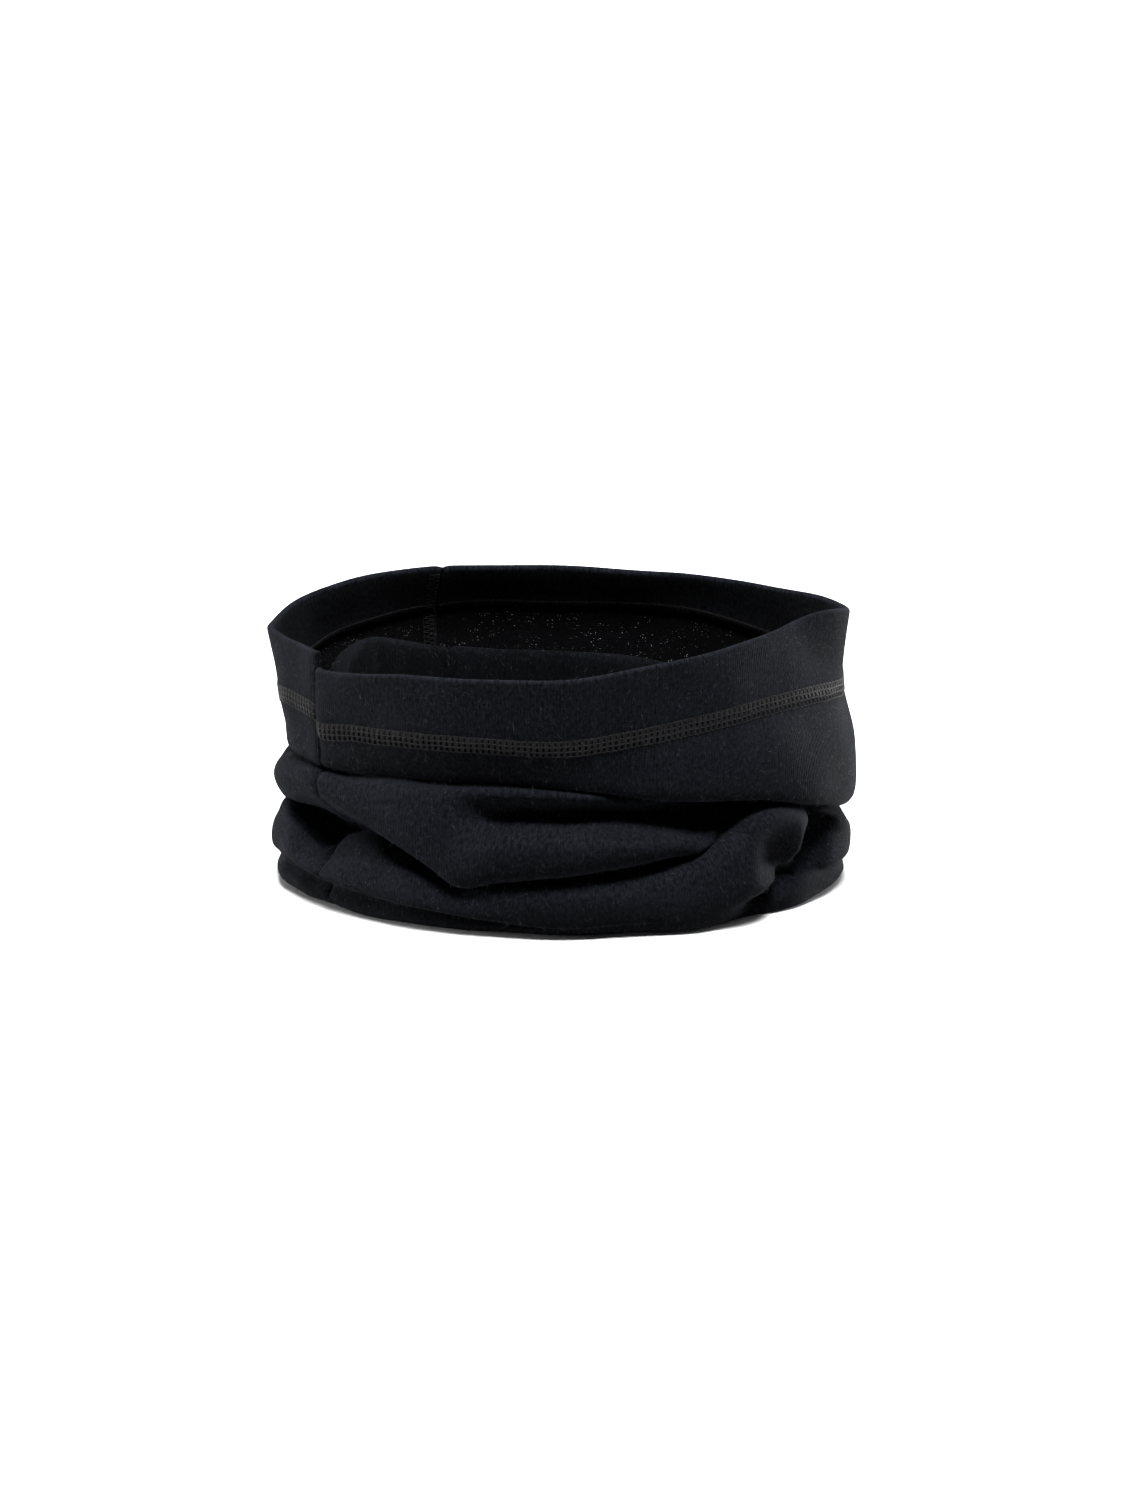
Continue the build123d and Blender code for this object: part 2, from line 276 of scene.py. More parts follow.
def on_the_oval(angles, depth, height):
    """Points that lie depth inside the oval, measured square to it, and that high."""
    a = np.radians(angles)
    nx, ny = HALF_DEPTH * np.cos(a), HALF_WIDTH * np.sin(a)
    size = np.hypot(nx, ny)
    x = HALF_WIDTH * np.cos(a) - depth * nx / size
    y = HALF_DEPTH * np.sin(a) - depth * ny / size
    return np.stack([x, y, height + 0 * x], axis=-1)


def lines_at(angles):
    """Every line of the table at the given angles, as points of shape (angles, rows, 3)."""
    rows = []
    for stations, depth, height in (line.T for line in LINES.values()):
        depth = round_the_tube(stations, depth, angles)
        rows.append(on_the_oval(angles, depth, round_the_tube(stations, height, angles)))
    return np.stack(rows, axis=1)


def along(points, axis):
    """Distance travelled along one axis of a grid of points, from its first row or column."""
    step = np.linalg.norm(np.diff(points, axis=axis), axis=2)
    start = np.zeros_like(np.take(step, [0], axis=axis))
    return np.concatenate([start, np.cumsum(step, axis=axis)], axis=axis)


print("girth of the oval", round(float(along(lines_at(np.arange(0, 361.0))[:, :1], 0).max())), "mm")

# %% [markdown]
# ## Soft unevenness
#
# Knit never hangs quite smooth. A few long waves of random direction, added together, push the cloth in and
# out by part of a millimetre.

# %% Unevenness
def ripples(u, v, seed, shortest, longest, count=14):
    """Sum of count plane waves over the cloth (u round, v down), scaled so that it mostly stays within -1
    and 1.
    """
    pick = np.random.default_rng(seed)
    total = np.zeros(np.broadcast(u, v).shape)
    for _ in range(count):
        length = np.exp(pick.uniform(np.log(shortest), np.log(longest)))
        heading, phase = pick.uniform(0, np.pi), pick.uniform(0, 2 * np.pi)
        total = total + np.sin(2 * np.pi * (u * np.cos(heading) + v * np.sin(heading)) / length + phase)
    return total / np.sqrt(count)


def outward(grid):
    """Unit normals of a grid of points, from the cross product of its two directions, on the face side."""
    normal = np.cross(np.gradient(grid, axis=1), np.gradient(grid, axis=0))
    return normal / np.maximum(np.linalg.norm(normal, axis=2, keepdims=True), 1e-9)


# %% [markdown]
# ## The cloth as one grid
#
# The whole tube is computed once, on a grid of angle by distance, and the pieces are cut from it, so that
# they meet exactly. The grid also keeps how far each point is round the cloth and down it, because the knit
# follows those two measures. At the two side seams the cloth is drawn in a little by the stitches.

# %% The whole tube
CLOTH = 1.0
LYING = CLOTH / 2 + 0.05
GIRTH = 490.0
FRONT_SEAM = 213.5
BACK_SEAM = 117.0
ANGLE_STEP = 0.85
PARTS = [8, 8, 8, 6, 6, 5, 6, 7, 8, 6, 6, 5, 5, 7, 5, 5, 5, 4, 4, 6, 6, 3, 4, 8]
TOP_JOINT = PARTS[0]
HEM_JOINT = sum(PARTS[:-1])
AT_LINE = dict(zip(LINES, np.cumsum([0] + PARTS)))
UNEVEN = 0.35
SEAM_DIP = 0.9
SEAM_DIP_WIDTH = 1.2
RIM_STEP = 5.0
RIM_STEP_WIDTH = 11.0
LOWERED = {"rim": 1, "band joint": 0.85, "first tier edge": 0}
GATHER = 1.2
GATHERED = {
    "foot inside": 0,
    "inside low": 1,
    "inside wall": 0.6,
    "inside roll": 0,
    "inside roll back": 0,
    "hem joint": 0.8,
}
GATHER_LENGTH = 12.0


def share_at(values):
    """A number for each row down the tube: given at some lines, and shared out evenly between them."""
    return np.interp(np.arange(sum(PARTS) + 1), [AT_LINE[name] for name in values], list(values.values()))


def cloth_between(start, end, step=ANGLE_STEP):
    """Middle surface of the cloth between two angles, and the measures u round it and v down it.

    The unevenness pushes each point along its normal, and so does a narrow dip with the shape of a bell at
    each seam. The tucked-in part goes round a tighter ring than the cloth is wide, so it stands in small
    gathers. Just past the front seam the main panel sits lower than the side panel, which leaves a step in
    the rim. Where the cloth would sink into the ground, it lies on it.
    """
    angles = np.linspace(start, end, max(round((end - start) / step), 1) + 1)
    grid = down_the_tube(lines_at(angles), PARTS)
    u = (angles / 360 * GIRTH)[:, None] + 0 * grid[..., 0]
    v = along(grid, 1)
    v = v - v[:, TOP_JOINT : TOP_JOINT + 1]
    push = UNEVEN * ripples(u, v, 3, 20, 80)
    for seam in (FRONT_SEAM, BACK_SEAM):
        from_seam = ((angles - seam + 180) % 360 - 180)[:, None] / 360 * GIRTH
        push = push - SEAM_DIP * np.exp(-((from_seam / SEAM_DIP_WIDTH) ** 2))
    gathered = share_at(GATHERED)
    push = push + GATHER * gathered * np.sin(2 * np.pi * u / GATHER_LENGTH + 1.5 * np.sin(2 * np.pi * u / 70))
    grid = grid + outward(grid) * push[..., None]
    past = (angles - FRONT_SEAM) / 360 * GIRTH
    lower = RIM_STEP * np.exp(-((past / RIM_STEP_WIDTH) ** 2)) * ((past > 0) | (start == FRONT_SEAM))
    grid[..., 2] -= lower[:, None] * share_at(LOWERED)
    grid[..., 2] = np.maximum(grid[..., 2], LYING)
    return grid, u, v


print("rows down the tube", sum(PARTS) + 1, "with joints at", TOP_JOINT, "and", HEM_JOINT)

# %% [markdown]
# ## Meshes
#
# Every piece of cloth is a closed skin round a grid: its face half a thickness out, its reverse half a
# thickness in. Blender could add the thickness with a Solidify modifier. Building the skin by hand keeps
# the two sides apart, so that the face and the reverse of the knit each get their own finish.

# %% Closed skins and tubes
def add_mesh(name, points, faces, uv, materials, side=None):
    """Makes an object from points in millimetres and four-cornered faces, turned so that its volume is
    positive.
    """
    a, b, c, d = (points[faces[:, k]] for k in range(4))
    six_volumes = np.einsum("ij,ij->i", a, np.cross(b, c)) + np.einsum("ij,ij->i", a, np.cross(c, d))
    if six_volumes.sum() < 0:
        faces = faces[:, ::-1]
    mesh = bpy.data.meshes.new(name)
    mesh.vertices.add(len(points))
    mesh.vertices.foreach_set("co", (points * MM).ravel())
    mesh.loops.add(faces.size)
    mesh.loops.foreach_set("vertex_index", faces.ravel())
    mesh.polygons.add(len(faces))
    mesh.polygons.foreach_set("loop_start", np.arange(0, faces.size, 4))
    mesh.polygons.foreach_set("loop_total", np.full(len(faces), 4))
    mesh.polygons.foreach_set("use_smooth", np.ones(len(faces), bool))
    for material in materials:
        mesh.materials.append(material)
    if side is not None:
        mesh.polygons.foreach_set("material_index", side)
    mesh.uv_layers.new(name="cloth").data.foreach_set("uv", (uv * MM)[faces.ravel()].ravel())
    mesh.update()
    piece = bpy.data.objects.new(name, mesh)
    bpy.context.scene.collection.objects.link(piece)
    return piece


def closed_skin(name, face, reverse, u, v, materials):
    """Closed skin of two grids: each column is a loop down the face and back up the reverse, and the first
    and last columns are capped.
    """
    n, m = face.shape[:2]
    ring = 2 * m
    points = np.concatenate([face, reverse[:, ::-1]], axis=1).reshape(-1, 3)
    index = np.arange(n * ring).reshape(n, ring)
    on = np.roll(index, -1, axis=1)
    sides = np.stack([index[:-1], on[:-1], on[1:], index[1:]], -1).reshape(-1, 4)
    j = np.arange(m - 1)
    cap = np.stack([j, ring - 1 - j, ring - 2 - j, j + 1], -1)
    faces = np.concatenate([sides, index[0][cap], index[-1][cap][:, ::-1]])
    uv = np.stack([np.concatenate([w, w[:, ::-1]], axis=1).ravel() for w in (u, v)], -1)
    side = np.zeros(len(faces), np.int32)
    side[: len(sides)] = np.tile((np.arange(ring) >= m).astype(np.int32), n - 1)
    return add_mesh(name, points, faces, uv, materials, np.minimum(side, len(materials) - 1))


def tube(path, radius, sides=5):
    """Points and faces of a tube: a ring of points at each point of the path, square to it, and a cap at
    both ends.
    """
    way = np.gradient(path, axis=0)
    way /= np.maximum(np.linalg.norm(way, axis=1, keepdims=True), 1e-9)
    up = np.cross(way, np.cross([0.3, 0.2, 1.0], way))
    up /= np.maximum(np.linalg.norm(up, axis=1, keepdims=True), 1e-9)
    across = np.cross(way, up)
    turn = np.arange(sides) * 2 * np.pi / sides
    radius = np.broadcast_to(np.asarray(radius, float), len(path))[:, None, None]
    ring = up[:, None] * np.cos(turn)[:, None] + across[:, None] * np.sin(turn)[:, None]
    points = np.concatenate([(path[:, None] + radius * ring).reshape(-1, 3), path[:1], path[-1:]])
    index = np.arange(len(path) * sides).reshape(-1, sides)
    on = np.roll(index, -1, axis=1)
    body = np.stack([index[:-1], on[:-1], on[1:], index[1:]], -1).reshape(-1, 4)
    first, last = len(points) - 2, len(points) - 1
    spokes = np.arange(0, sides - 1, 2)
    ends = [[first, index[0][(k + 2) % sides], index[0][k + 1], index[0][k]] for k in spokes]
    ends += [[last, index[-1][k], index[-1][k + 1], index[-1][(k + 2) % sides]] for k in spokes]
    return points, np.concatenate([body, np.array(ends)])


def threads(name, tubes, material):
    """One object from several tubes; the measures stored on it are the way along and the way round each
    tube.
    """
    points, faces, uv, count = [], [], [], 0
    for path, radius, sides in tubes:
        p, f = tube(path, radius, sides)
        length = np.r_[0, np.cumsum(np.linalg.norm(np.diff(path, axis=0), axis=1))]
        along_it = np.r_[np.repeat(length, sides), 0, length[-1]]
        round_it = np.r_[np.tile(np.arange(sides) / sides, len(path)), 0, 0]
        points.append(p)
        faces.append(f + count)
        uv.append(np.stack([along_it, round_it], -1))
        count += len(p)
    return add_mesh(name, np.concatenate(points), np.concatenate(faces), np.concatenate(uv), [material])


# %% [markdown]
# ## The knit
#
# The tube is fine wool jersey. Its face shows upright ribs, called wales, each a column of small V shapes,
# and its reverse shows rows of small arcs, with pale fibres caught in it. The wool is dyed in the fleece,
# so its colour is uneven in soft streaks. An image could carry all this. A pattern of sines on the two
# cloth measures is sharp at any size and follows every fold. Sheen stands for the fuzz that catches light
# at a glancing angle.

# %% Node helpers
WALE = 0.00083
COURSE = 0.00056


def node(tree, kind, settings=None, **inputs):
    """Adds a node, sets its properties, and fills or links the inputs named (spaces as _, or i0, i1 by
    number).
    """
    made = tree.nodes.new(kind)
    for key, value in (settings or {}).items():
        setattr(made, key, value)
    for key, value in inputs.items():
        socket = made.inputs[int(key[1:])] if key[1:].isdigit() else made.inputs[key.replace("_", " ")]
        if hasattr(value, "is_output"):
            tree.links.new(value, socket)
        else:
            socket.default_value = value
    return made


def maths(tree, operation, *values):
    """Output of one Math node."""
    inputs = {f"i{k}": v for k, v in enumerate(values)}
    return node(tree, "ShaderNodeMath", {"operation": operation}, **inputs).outputs[0]


def wave(tree, turns):
    """Sine of a number of turns, so that it repeats every time the number grows by one."""
    return maths(tree, "SINE", maths(tree, "MULTIPLY", turns, 2 * np.pi))


def blend_colours(tree, share, first, second):
    """Output of a colour mix: the first colour where share is 0, the second where it is 1."""
    made = tree.nodes.new("ShaderNodeMix")
    made.data_type = "RGBA"
    for socket, value in ((made.inputs[0], share), (made.inputs[6], first), (made.inputs[7], second)):
        if hasattr(value, "is_output"):
            tree.links.new(value, socket)
        else:
            socket.default_value = value
    return made.outputs[2]


def step_up(tree, value, low, high):
    """0 below low, 1 above high, and straight in between."""
    return node(
        tree, "ShaderNodeMapRange", Value=value, From_Min=low, From_Max=high, To_Min=0.0, To_Max=1.0
    ).outputs[0]


def noise(tree, where, scale, detail=3.0, stretch=(1, 1, 1)):
    """Noise on coordinates that are first stretched."""
    mapped = node(tree, "ShaderNodeMapping", Vector=where, Scale=stretch).outputs[0]
    made = node(tree, "ShaderNodeTexNoise", Vector=mapped, Scale=scale, Detail=detail, Roughness=0.6)
    return made.outputs[0]


# %% [markdown]
# ## The knit's colour and stitches
#
# One recipe makes every knit. Two sines on the cloth measures draw the stitches, and a bump gives them
# height. Noise stretched along the cloth gives the streaks of the dyed wool. The reverse also has rare pale
# flecks.

# %% Knit materials
def knit_material(name, dark, light, reverse, tucked=0.0):
    """Jersey of the two shades. The face has ribs of V stitches, and the reverse rows of arcs and pale
    fibres.

    Past the distance tucked down the tube, the colour is darkened: painted shade, which stands for how little
    light gets there.
    """
    material = bpy.data.materials.new(name)
    material.use_nodes = True
    tree = material.node_tree
    cloth = node(tree, "ShaderNodeUVMap", {"uv_map": "cloth"}).outputs[0]
    place = node(tree, "ShaderNodeTexCoord").outputs["Object"]
    parts = node(tree, "ShaderNodeSeparateXYZ", Vector=cloth).outputs
    wobble = maths(tree, "MULTIPLY", maths(tree, "SUBTRACT", noise(tree, cloth, 260, 2.0), 0.5), 0.0009)
    u, v = maths(tree, "ADD", parts[0], wobble), maths(tree, "ADD", parts[1], wobble)
    wale, course = maths(tree, "DIVIDE", u, WALE), maths(tree, "DIVIDE", v, COURSE)
    from_rib = maths(tree, "ABSOLUTE", maths(tree, "SUBTRACT", maths(tree, "FRACT", wale), 0.5))
    if reverse:
        arcs = maths(tree, "ADD", course, maths(tree, "MULTIPLY", wave(tree, wale), 0.22))
        stitch = maths(tree, "MULTIPLY_ADD", wave(tree, arcs), 0.5, 0.5)
    else:
        rib = maths(tree, "SQRT", maths(tree, "SUBTRACT", 1.0, maths(tree, "MULTIPLY", from_rib, 1.9)))
        slant = maths(tree, "ADD", course, maths(tree, "MULTIPLY", from_rib, 1.6))
        leg = maths(tree, "MULTIPLY_ADD", wave(tree, slant), 0.5, 0.5)
        stitch = maths(tree, "MULTIPLY_ADD", leg, 0.4, maths(tree, "MULTIPLY", rib, 0.8))
    streaks = noise(tree, cloth, 95, 4.0, (1.0, 0.35, 1.0))
    heather = noise(tree, cloth, 1050, 4.0, (1.0, 0.6, 1.0))
    fibres = noise(tree, place, 5200, 2.0)
    streaky = maths(tree, "MULTIPLY", streaks, 0.75)
    shade = maths(tree, "MULTIPLY_ADD", maths(tree, "SUBTRACT", heather, 0.5), 3.0, streaky)
    shade = maths(tree, "ADD", shade, maths(tree, "MULTIPLY", stitch, 0.35))
    colour = blend_colours(tree, step_up(tree, shade, 0.2, 1.0), (*dark, 1), (*light, 1))
    if reverse:
        cells = node(tree, "ShaderNodeTexVoronoi", Vector=cloth, Scale=1500.0)
        caught = maths(tree, "LESS_THAN", cells.outputs["Distance"], 0.2)
        pick = node(tree, "ShaderNodeSeparateXYZ", Vector=cells.outputs["Color"]).outputs[0]
        rare = maths(tree, "GREATER_THAN", pick, 0.6)
        patchy = step_up(tree, noise(tree, cloth, 130, 3.0, (0.7, 1.0, 1.0)), 0.42, 0.55)
        pale = maths(tree, "MULTIPLY", maths(tree, "MULTIPLY", caught, rare), patchy)
        colour = blend_colours(tree, pale, colour, (0.14, 0.14, 0.12, 1))
    # Painted shade: past the distance tucked down the tube, the colour is blended 60 percent of the way to
    # near black.
    if tucked:
        tucked_painted_shade = step_up(tree, parts[1], tucked, tucked + 0.012)
        colour = blend_colours(tree, maths(tree, "MULTIPLY", tucked_painted_shade, 0.6), colour, (0.0006, 0.0006, 0.0008, 1))
    height = maths(tree, "MULTIPLY_ADD", fibres, 0.5, stitch)
    bump = node(tree, "ShaderNodeBump", Height=height, Strength=1.0, Distance=0.0003).outputs[0]
    shader = tree.nodes["Principled BSDF"]
    tree.links.new(colour, shader.inputs["Base Color"])
    tree.links.new(bump, shader.inputs["Normal"])
    rough = maths(tree, "MULTIPLY_ADD", heather, 0.15, 0.8)
    tree.links.new(rough, shader.inputs["Roughness"])
    shader.inputs["Specular IOR Level"].default_value = 0.03
    shader.inputs["Sheen Weight"].default_value = SHEEN
    shader.inputs["Sheen Roughness"].default_value = 0.4
    shader.inputs["Sheen Tint"].default_value = (0.55, 0.6, 0.72, 1)
    return material


SHEEN = 0.012
TUCKED = 0.105
DARK, LIGHT = (0.0010, 0.0012, 0.0018), (0.0070, 0.0079, 0.0108)
face_knit = knit_material("knit_face", DARK, LIGHT, False, TUCKED)
band_knit = knit_material("knit_band", DARK, LIGHT, False)
# A darker copy of the band knit, for the inner sides of the bands: painted shade.
shaded_inner_knit = knit_material("knit_inner_painted_shade", (0.0009, 0.0010, 0.0014), (0.0056, 0.0060, 0.0076), False)
reverse_knit = knit_material("knit_reverse", (0.0005, 0.0005, 0.0007), (0.0018, 0.0018, 0.0022), True)
print("wale", WALE * 1000, "mm, course", COURSE * 1000, "mm")

# %% [markdown]
# ## Panels
#
# The main panel goes round the front, the right and most of the back, and the side panel closes the rest.
# Both are single knit, from the flatlock seam under the rim down to the one above the hem.

# %% Panels
SEAMS = {"main": (FRONT_SEAM, BACK_SEAM + 360), "side": (BACK_SEAM, FRONT_SEAM)}
pieces = {}


def panel(part):
    """Closed skin round the rows of the cloth between the two joints."""
    grid, u, v = (w[:, TOP_JOINT : HEM_JOINT + 1] for w in cloth_between(*SEAMS[part]))
    half = outward(grid) * CLOTH / 2
    return closed_skin(f"{part}_panel_jersey", grid + half, grid - half, u, v, [face_knit, reverse_knit])


for part in SEAMS:
    pieces[f"{part}_panel"] = panel(part)
    print(part, "panel", len(pieces[f"{part}_panel"].data.polygons), "faces")

# %% [markdown]
# ## Bands
#
# At each end the cloth is folded double, and the fold is the rim. The fold is made like the real one: one
# strip goes from the joint to the rim, turns in a half circle towards the reverse, and comes back a cloth's
# thickness and a little air further in.

# %% Folded bands
FOLD_PITCH = CLOTH + 0.25


def folded(grid, normal):
    """Rows from the joint to the rim, a half circle of rows round the rim, and the rows back to the joint."""
    way = grid[:, -1:] - grid[:, -2:-1]
    way /= np.linalg.norm(way, axis=2, keepdims=True)
    turn = np.linspace(0, np.pi, 9)[None, :, None]
    last, out = grid[:, -1:], normal[:, -1:]
    middle = last - out * FOLD_PITCH / 2
    fold = middle + FOLD_PITCH / 2 * (out * np.cos(turn) + way * np.sin(turn))
    back = (grid - normal * FOLD_PITCH)[:, ::-1]
    return np.concatenate([grid[:, :-1], fold, back[:, 1:]], axis=1)


def band(part, seam):
    """Closed skin round the folded strip, with the face of the knit outside on both legs.

    The rows of the top band run up the tube, which turns the grid's own normal to the reverse.
    """
    grid, u, _ = cloth_between(*SEAMS[part])
    rows, facing = (slice(TOP_JOINT, None, -1), -1) if seam == "top" else (slice(HEM_JOINT, None), 1)
    strip = folded(grid[:, rows], facing * outward(grid[:, rows]))
    half = facing * outward(strip) * CLOTH / 2
    v = along(strip, 1)
    u = np.broadcast_to(u[:, :1], v.shape)
    # The inner knit is a darker copy of the band knit: painted shade on the inner leg of the top band and on
    # the inner sides of the hem band's fold.
    knits = [band_knit, shaded_inner_knit]
    piece = closed_skin(f"{part}_{seam}_band_jersey", strip + half, strip - half, u, v, knits)
    if seam == "top":
        middle = strip.shape[1] // 2 + 3
        index = np.zeros(len(piece.data.polygons), np.int32)
        row = np.arange(len(index)) % (2 * strip.shape[1])
        index[row > middle] = 1
        piece.data.polygons.foreach_set("material_index", index)
    return piece


for part in SEAMS:
    for seam in ("top", "hem"):
        pieces[f"{part}_{seam}_band"] = band(part, seam)
print(len(pieces), "pieces of cloth")

# %% [markdown]
# ## Sewing thread
#
# The sewing thread is polyester, a little warmer and greyer than the wool. It is two plies twisted
# together, which shows as fine slanted ridges. The twist is a stripe on the two measures of each tube, not
# geometry.

# %% Thread material
def thread_material(name, colour, twist):
    """Twisted thread: slanted ridges along the tube, a painted highlight on each crown, and a soft shine."""
    material = bpy.data.materials.new(name)
    material.use_nodes = True
    tree = material.node_tree
    way = node(tree, "ShaderNodeUVMap", {"uv_map": "cloth"}).outputs[0]
    parts = node(tree, "ShaderNodeSeparateXYZ", Vector=way).outputs
    turns = maths(tree, "DIVIDE", parts[0], twist)
    slant = maths(tree, "ADD", turns, maths(tree, "MULTIPLY", parts[1], 1000.0))
    ply = maths(tree, "MULTIPLY_ADD", wave(tree, slant), 0.5, 0.5)
    place = node(tree, "ShaderNodeTexCoord").outputs["Object"]
    wear = noise(tree, place, 1300, 2.0)
    # The ply stripe in the colour paints each crown brighter and each groove darker: painted highlight and
    # painted shade, mixed with a random tone.
    share = maths(tree, "MULTIPLY_ADD", wear, 0.6, maths(tree, "MULTIPLY", ply, 0.4))
    dark = tuple(0.45 * c for c in colour)
    blend = blend_colours(tree, share, (*dark, 1), (*colour, 1))
    tree.links.new(blend, tree.nodes["Principled BSDF"].inputs[0])
    bump = node(tree, "ShaderNodeBump", Height=ply, Strength=0.5, Distance=0.00005).outputs[0]
    shader = tree.nodes["Principled BSDF"]
    tree.links.new(bump, shader.inputs["Normal"])
    shader.inputs["Roughness"].default_value = 0.55
    shader.inputs["Specular IOR Level"].default_value = 0.08
    shader.inputs["Sheen Weight"].default_value = 0.01
    return material


needle_thread = thread_material("needle_thread", (0.0118, 0.0108, 0.0110), 0.0004)
cover_thread = thread_material("cover_thread", (0.0054, 0.0050, 0.0053), 0.0006)
looper_thread = thread_material("looper_thread", (0.0060, 0.0058, 0.0062), 0.0006)
overlock_thread = thread_material("overlock_thread", (0.0055, 0.0054, 0.0060), 0.0006)

# %% [markdown]
# ## Flatlock seams
#
# A flatlock machine sews four needles side by side. On the face each needle leaves a row of short stitches,
# and a cover thread runs from the first row to the last and back under every stitch, like a ladder. On the
# reverse the looper threads cross from row to row. Each thread is one tube whose path is a wave on the
# cloth: the place across the seam and the height over the cloth repeat once a stitch.

# %% A seam's own frame
STITCH = 1.85
ROWS = np.array([-2.65, -0.9, 0.9, 2.65])
CLEAR = CLOTH / 2 + 0.12


def beside(grid, row, length, across, lift):
    """Points at a length along a row of the grid, that far across it over the cloth, and that far off its
    middle.

    Across is measured down the tube along the neighbouring rows, so the thread follows the curve of the
    cloth.
    """
    along_row = along(grid, 0)[:, row]
    rows = slice(max(row - 5, 0), row + 6)
    down = along(grid, 1)
    down = (down - down[:, row : row + 1])[:, rows]
    near, normal = grid[:, rows], outward(grid)[:, rows]
    i = np.interp(length, along_row, np.arange(len(along_row)))
    i0 = np.clip(i.astype(int), 0, len(along_row) - 2)
    share = (i - i0)[:, None]

    def at(column_values):
        return column_values[i0] * (1 - share[..., None]) + column_values[i0 + 1] * share[..., None]

    here = down[i0] * (1 - share) + down[i0 + 1] * share
    points, normals = at(near), at(normal)
    k = np.clip((here < across[:, None]).sum(1) - 1, 0, here.shape[1] - 2)
    pick = np.arange(len(k))
    part = ((across - here[pick, k]) / (here[pick, k + 1] - here[pick, k]))[:, None]
    point = points[pick, k] * (1 - part) + points[pick, k + 1] * part
    normal = normals[pick, k] * (1 - part) + normals[pick, k + 1] * part
    normal /= np.linalg.norm(normal, axis=1, keepdims=True)
    return point + normal * lift[:, None]


def flatlock(part, seam):
    """The needle threads, the cover thread and the looper threads of one joint, as three objects."""
    grid, _, _ = cloth_between(*SEAMS[part])
    row = TOP_JOINT if seam == "top" else HEM_JOINT
    band_side = -1 if seam == "top" else 1
    total = along(grid, 0)[-1, row]
    count = int(total / STITCH)
    phase = np.linspace(0, count, count * 8 + 1)
    length = 0.4 + phase / count * (total - 0.8)
    needles = []
    for k, place in enumerate(ROWS):
        sway = 0.10 * np.sin(phase * 0.9 + k) + 0.06 * np.sin(phase * 0.23 + 2 * k)
        dip = np.clip(np.cos(2 * np.pi * phase) * 2.0 - 0.8, 0, 1)
        thick = 0.19 if k in (1, 2) else 0.13
        needles.append((beside(grid, row, length, place + sway, CLEAR + 0.17 - 0.6 * dip), thick, 5))
    covers = []
    for shift, off in ((0.0, 0.0), (0.13, 0.05), (0.26, 0.02)):
        wave = np.clip(1.5 * np.sin(2 * np.pi * (phase + shift)), -1, 1)
        drift = length + 0.18 * np.cos(2 * np.pi * (phase + shift)) * STITCH
        path = beside(grid, row, np.clip(drift, 0, total), 2.72 * wave, CLEAR + off + 0 * wave)
        covers.append((path, 0.15, 5))
    loopers = []
    for shift in (0.0, 1 / 3, 2 / 3):
        wave = np.sin(2 * np.pi * (phase + shift))
        over_band = 1 / (1 + np.exp(-6 * band_side * wave))
        lift = -(CLEAR + 0.05) - over_band * (FOLD_PITCH + 0.02)
        drift = length + 0.25 * np.cos(2 * np.pi * (phase + shift)) * STITCH
        loopers.append((beside(grid, row, np.clip(drift, 0, total), 2.7 * wave, lift), 0.15, 4))
    name = f"{part}_{seam}"
    return {
        f"{name}_needle_threads": threads(f"{name}_needle_stitches", needles, needle_thread),
        f"{name}_cover_thread": threads(f"{name}_cover_stitches", covers, cover_thread),
        f"{name}_looper_threads": threads(f"{name}_looper_stitches", loopers, looper_thread),
    }


for part in SEAMS:
    for seam in ("top", "hem"):
        pieces |= flatlock(part, seam)
print("stitches", STITCH, "mm long in", len(ROWS), "rows")

# %% [markdown]
# ## Overlocked side seams
#
# The side seams close the tube from rim to rim. On the reverse the cut edges are bound by overlock threads
# in slanted loops, with one straight row of stitches beside them. Here the threads are tubes laid on the
# reverse of the cloth, and on the reverse of the inner layer over the bands. The narrow allowance that they
# bind isn't modelled.

# %% Overlock
OVERLOCK_WIDTH = 4.0
OVERLOCK_STITCH = 1.6


